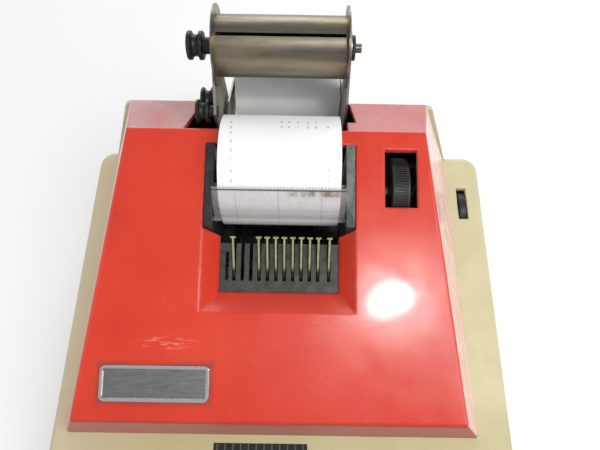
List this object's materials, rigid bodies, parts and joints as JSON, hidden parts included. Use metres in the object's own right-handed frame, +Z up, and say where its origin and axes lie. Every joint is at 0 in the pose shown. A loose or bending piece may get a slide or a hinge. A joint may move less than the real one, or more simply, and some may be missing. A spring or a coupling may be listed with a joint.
{
  "type": "printing register",
  "caption": "Desk-top ticket register: sloping case with a raised hood, paper-tape printer with flip-up tear window, take-up spool on arms, thumbwheels and a ten-key keyboard.",
  "frame": {"origin": "on the table under the middle of the whole machine, from the case's front to the back of the supply roll", "axes": "X to the right as the operator sits, Y to the rear, Z up"},
  "size_m": [0.239, 0.3416, 0.1775],
  "materials": {
    "case_plastic": "satin",
    "hood_plastic": "gloss",
    "black_plastic": "gloss",
    "wheel_plastic": "satin",
    "pulley_plastic": "satin",
    "gear_plastic": "satin",
    "clear_plastic": "gloss",
    "smoked_window": "gloss",
    "white_keys": "satin",
    "grey_keys": "satin",
    "red_key": "satin",
    "dark_plate": "satin",
    "comb_enamel": "satin",
    "motor_enamel": "satin",
    "badge_metal": "polished",
    "hammer_brass": "polished",
    "zinc_steel": "satin",
    "aged_steel": "aged",
    "arm_steel": "aged",
    "rubber": "matte",
    "tape_paper": "matte",
    "roll_paper": "matte"
  },
  "bodies": {
    "machine": {"lower_case": "case_plastic", "base_plate": "zinc_steel", "feet": "rubber", "case_screws": "zinc_steel", "top_cover": "hood_plastic", "rear_cover": "case_plastic", "badge_plate": "badge_metal", "power_inlet": "black_plastic", "keyboard_plate": "dark_plate", "indicator_window": "smoked_window", "left_cheek": "black_plastic", "right_cheek": "black_plastic", "comb_plate": "comb_enamel", "hammer_shaft": "zinc_steel", "paper_tape": "tape_paper", "left_arm": "arm_steel", "right_arm": "arm_steel", "roll_axle": "zinc_steel", "chassis": "zinc_steel", "motor": "motor_enamel"},
    "platen": {"platen_roller": "rubber", "platen_shaft": "zinc_steel", "platen_wheel": "wheel_plastic"},
    "take_up_spool": {"spool_shaft": "zinc_steel", "spool_drum": "aged_steel", "left_flange": "aged_steel", "right_flange": "aged_steel", "spool_pulley": "pulley_plastic", "shaft_nut": "zinc_steel"},
    "belt_drive_wheel": {"drive_pulley": "pulley_plastic"},
    "belt_idler": {"idler_pulley": "pulley_plastic"},
    "paper_roll": {"supply_roll": "roll_paper"},
    "side_thumbwheel": {"side_wheel": "wheel_plastic"},
    "main_drive": {"drive_gear": "gear_plastic", "main_shaft": "zinc_steel"},
    "motor_rotor": {"motor_shaft": "zinc_steel"},
    "window": {"paper_window": "clear_plastic"},
    "key_0": {"key_0": "white_keys"},
    "key_1": {"key_1": "white_keys"},
    "key_2": {"key_2": "white_keys"},
    "key_3": {"key_3": "white_keys"},
    "key_4": {"key_4": "white_keys"},
    "key_5": {"key_5": "white_keys"},
    "key_6": {"key_6": "white_keys"},
    "key_7": {"key_7": "white_keys"},
    "key_8": {"key_8": "white_keys"},
    "key_9": {"key_9": "white_keys"},
    "add_bar": {"add_bar": "grey_keys"},
    "total_key": {"total_key": "red_key"},
    "clear_key": {"clear_key": "grey_keys"},
    "hammer_1": {"hammer_1": "hammer_brass"},
    "hammer_2": {"hammer_2": "hammer_brass"},
    "hammer_3": {"hammer_3": "hammer_brass"},
    "hammer_4": {"hammer_4": "hammer_brass"},
    "hammer_5": {"hammer_5": "hammer_brass"},
    "hammer_6": {"hammer_6": "hammer_brass"},
    "hammer_7": {"hammer_7": "hammer_brass"},
    "hammer_8": {"hammer_8": "hammer_brass"},
    "hammer_9": {"hammer_9": "hammer_brass"},
    "hammer_10": {"hammer_10": "hammer_brass"}
  },
  "joints": [
    {"name": "platen_turn", "type": "hinge", "parent": "machine", "child": "platen", "pos_m": [-0.0025, 0.06615, 0.109], "axis": [1, 0, 0], "continuous": true},
    {"name": "spool_turn", "type": "hinge", "parent": "machine", "child": "take_up_spool", "pos_m": [-0.0025, 0.11615, 0.1587], "axis": [1, 0, 0], "continuous": true},
    {"name": "drive_pulley_turn", "type": "hinge", "parent": "machine", "child": "belt_drive_wheel", "pos_m": [-0.0412, 0.09465, 0.1367], "axis": [1, 0, 0], "continuous": true},
    {"name": "idler_turn", "type": "hinge", "parent": "machine", "child": "belt_idler", "pos_m": [-0.0412, 0.10865, 0.129], "axis": [1, 0, 0], "continuous": true},
    {"name": "paper_roll_turn", "type": "hinge", "parent": "machine", "child": "paper_roll", "pos_m": [-0.0006, 0.14485, 0.1031], "axis": [1, 0, 0], "continuous": true},
    {"name": "side_wheel_turn", "type": "hinge", "parent": "machine", "child": "side_thumbwheel", "pos_m": [0.107, 0.08655, 0.05399], "axis": [1, 0, 0], "continuous": true},
    {"name": "main_drive_turn", "type": "hinge", "parent": "machine", "child": "main_drive", "pos_m": [-0.005, 0.05415, 0.038], "axis": [1, 0, 0], "continuous": true},
    {"name": "motor_turn", "type": "hinge", "parent": "machine", "child": "motor_rotor", "pos_m": [-0.045, 0.03326, 0.0629], "axis": [1, 0, 0], "continuous": true},
    {"name": "window_flip", "type": "hinge", "parent": "machine", "child": "window", "pos_m": [-0.0025, 0.04687, 0.11349], "axis": [1, 0, 0], "range_deg": [0, 50]},
    {"name": "key_0_press", "type": "slide", "parent": "machine", "child": "key_0", "axis": [0, 0.1045, -0.9945], "range_m": [0, 0.004], "stiffness_N_per_m": 150, "springref_m": -0.002},
    {"name": "key_1_press", "type": "slide", "parent": "machine", "child": "key_1", "axis": [0, 0.1045, -0.9945], "range_m": [0, 0.004], "stiffness_N_per_m": 150, "springref_m": -0.002},
    {"name": "key_2_press", "type": "slide", "parent": "machine", "child": "key_2", "axis": [0, 0.1045, -0.9945], "range_m": [0, 0.004], "stiffness_N_per_m": 150, "springref_m": -0.002},
    {"name": "key_3_press", "type": "slide", "parent": "machine", "child": "key_3", "axis": [0, 0.1045, -0.9945], "range_m": [0, 0.004], "stiffness_N_per_m": 150, "springref_m": -0.002},
    {"name": "key_4_press", "type": "slide", "parent": "machine", "child": "key_4", "axis": [0, 0.1045, -0.9945], "range_m": [0, 0.004], "stiffness_N_per_m": 150, "springref_m": -0.002},
    {"name": "key_5_press", "type": "slide", "parent": "machine", "child": "key_5", "axis": [0, 0.1045, -0.9945], "range_m": [0, 0.004], "stiffness_N_per_m": 150, "springref_m": -0.002},
    {"name": "key_6_press", "type": "slide", "parent": "machine", "child": "key_6", "axis": [0, 0.1045, -0.9945], "range_m": [0, 0.004], "stiffness_N_per_m": 150, "springref_m": -0.002},
    {"name": "key_7_press", "type": "slide", "parent": "machine", "child": "key_7", "axis": [0, 0.1045, -0.9945], "range_m": [0, 0.004], "stiffness_N_per_m": 150, "springref_m": -0.002},
    {"name": "key_8_press", "type": "slide", "parent": "machine", "child": "key_8", "axis": [0, 0.1045, -0.9945], "range_m": [0, 0.004], "stiffness_N_per_m": 150, "springref_m": -0.002},
    {"name": "key_9_press", "type": "slide", "parent": "machine", "child": "key_9", "axis": [0, 0.1045, -0.9945], "range_m": [0, 0.004], "stiffness_N_per_m": 150, "springref_m": -0.002},
    {"name": "add_bar_press", "type": "slide", "parent": "machine", "child": "add_bar", "axis": [0, 0.1045, -0.9945], "range_m": [0, 0.004], "stiffness_N_per_m": 150, "springref_m": -0.002},
    {"name": "total_key_press", "type": "slide", "parent": "machine", "child": "total_key", "axis": [0, 0.1045, -0.9945], "range_m": [0, 0.004], "stiffness_N_per_m": 150, "springref_m": -0.002},
    {"name": "clear_key_press", "type": "slide", "parent": "machine", "child": "clear_key", "axis": [0, 0.1045, -0.9945], "range_m": [0, 0.004], "stiffness_N_per_m": 150, "springref_m": -0.002},
    {"name": "hammer_1_swing", "type": "hinge", "parent": "machine", "child": "hammer_1", "pos_m": [-0.005, 0.01825, 0.0934], "axis": [-1, 0, 0], "range_deg": [0, 20], "stiffness_Nm_per_rad": 0.002, "springref_deg": -11.46},
    {"name": "hammer_2_swing", "type": "hinge", "parent": "machine", "child": "hammer_2", "pos_m": [-0.005, 0.01825, 0.0934], "axis": [-1, 0, 0], "range_deg": [0, 20], "stiffness_Nm_per_rad": 0.002, "springref_deg": -11.46},
    {"name": "hammer_3_swing", "type": "hinge", "parent": "machine", "child": "hammer_3", "pos_m": [-0.005, 0.01825, 0.0934], "axis": [-1, 0, 0], "range_deg": [0, 20], "stiffness_Nm_per_rad": 0.002, "springref_deg": -11.46},
    {"name": "hammer_4_swing", "type": "hinge", "parent": "machine", "child": "hammer_4", "pos_m": [-0.005, 0.01825, 0.0934], "axis": [-1, 0, 0], "range_deg": [0, 20], "stiffness_Nm_per_rad": 0.002, "springref_deg": -11.46},
    {"name": "hammer_5_swing", "type": "hinge", "parent": "machine", "child": "hammer_5", "pos_m": [-0.005, 0.01825, 0.0934], "axis": [-1, 0, 0], "range_deg": [0, 20], "stiffness_Nm_per_rad": 0.002, "springref_deg": -11.46},
    {"name": "hammer_6_swing", "type": "hinge", "parent": "machine", "child": "hammer_6", "pos_m": [-0.005, 0.01825, 0.0934], "axis": [-1, 0, 0], "range_deg": [0, 20], "stiffness_Nm_per_rad": 0.002, "springref_deg": -11.46},
    {"name": "hammer_7_swing", "type": "hinge", "parent": "machine", "child": "hammer_7", "pos_m": [-0.005, 0.01825, 0.0934], "axis": [-1, 0, 0], "range_deg": [0, 20], "stiffness_Nm_per_rad": 0.002, "springref_deg": -11.46},
    {"name": "hammer_8_swing", "type": "hinge", "parent": "machine", "child": "hammer_8", "pos_m": [-0.005, 0.01825, 0.0934], "axis": [-1, 0, 0], "range_deg": [0, 20], "stiffness_Nm_per_rad": 0.002, "springref_deg": -11.46},
    {"name": "hammer_9_swing", "type": "hinge", "parent": "machine", "child": "hammer_9", "pos_m": [-0.005, 0.01825, 0.0934], "axis": [-1, 0, 0], "range_deg": [0, 20], "stiffness_Nm_per_rad": 0.002, "springref_deg": -11.46},
    {"name": "hammer_10_swing", "type": "hinge", "parent": "machine", "child": "hammer_10", "pos_m": [-0.005, 0.01825, 0.0934], "axis": [-1, 0, 0], "range_deg": [0, 20], "stiffness_Nm_per_rad": 0.002, "springref_deg": -11.46}
  ],
  "couplings": [
    {"joint": "motor_turn", "follows": "main_drive_turn", "ratio": -3.3333}
  ]
}
